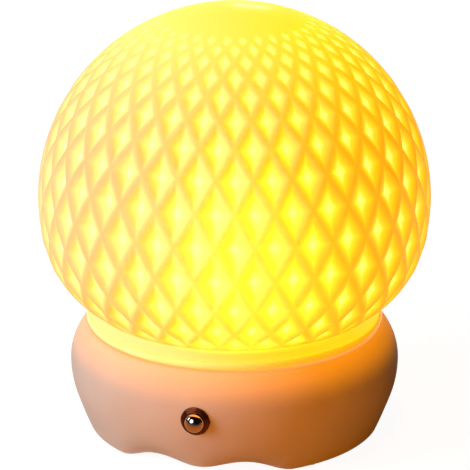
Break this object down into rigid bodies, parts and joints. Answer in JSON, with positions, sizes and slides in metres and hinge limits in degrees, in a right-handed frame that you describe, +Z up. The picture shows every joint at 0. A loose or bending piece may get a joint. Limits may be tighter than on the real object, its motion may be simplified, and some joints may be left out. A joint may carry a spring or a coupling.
{
  "type": "bedside lamp",
  "caption": "Globe night lamp: opal shade with a diamond lattice on a squat base with a lobed hem, a dome push-button in front and a charging inlet behind.",
  "frame": {"origin": "on the table, under the middle of the lamp", "axes": "+Z up along the shade's axis, the push-button faces -Y and the charging inlet +Y"},
  "size_m": [0.1592, 0.1592, 0.1766],
  "materials": {
    "peach_shell": "matt, moulded",
    "silicone": "soft, translucent",
    "cover_plastic": "matt, moulded",
    "steel": "zinc plated",
    "white_deck": "matt white, reflecting",
    "opal_shade": "opal, satin gloss, lit from inside",
    "opal_ring": "opal, glossy",
    "white_board": "white solder mask",
    "phosphor": "phosphor, lit",
    "opal_thimble": "opal, lit from inside",
    "black_rubber": "matt",
    "dark_chrome": "dark chrome, polished",
    "black_plastic": "matt, moulded",
    "brass": "bare",
    "cell_wrap": "shrink wrap",
    "green_board": "solder mask",
    "red_lead": "silicone insulation",
    "yellow_lead": "silicone insulation",
    "black_lead": "silicone insulation"
  },
  "bodies": {
    "base": {"base_shell": "peach_shell", "hem_pads": "silicone", "shade_gasket": "silicone", "base_plate": "cover_plastic", "plate_screws": "steel", "led_screws": "steel", "switch_washer": "steel", "switch_nut": "steel", "switch_spring": "steel", "holder_contacts": "steel", "holder_screws": "steel", "board_screws": "steel", "usb_socket": "steel", "lamp_deck": "white_deck", "led_board": "white_board", "led_chips": "phosphor", "led_diffuser": "opal_thimble", "lead_grommet": "black_rubber", "switch_seal": "black_rubber", "switch_barrel": "dark_chrome", "switch_insulator": "black_plastic", "battery_holder": "black_plastic", "board_chips": "black_plastic", "usb_tongue": "black_plastic", "switch_terminals": "brass", "battery_cell": "cell_wrap", "control_board": "green_board", "led_leads": "red_lead", "switch_leads": "yellow_lead", "battery_leads": "black_lead"},
    "shade": {"shade_globe": "opal_shade", "shade_ring": "opal_ring"},
    "button": {"button_dome": "dark_chrome", "contact_bridge": "brass"}
  },
  "joints": [
    {"name": "shade_twist", "type": "hinge", "parent": "base", "child": "shade", "pos_m": [0, 0, 0.0448], "axis": [0, 0, 1], "range_deg": [0, 25]},
    {"name": "button_press", "type": "slide", "parent": "base", "child": "button", "axis": [0, 1, 0], "range_m": [0, 0.002], "stiffness_N_per_m": 800, "springref_m": -0.002, "deforming": ["switch_spring"]}
  ]
}
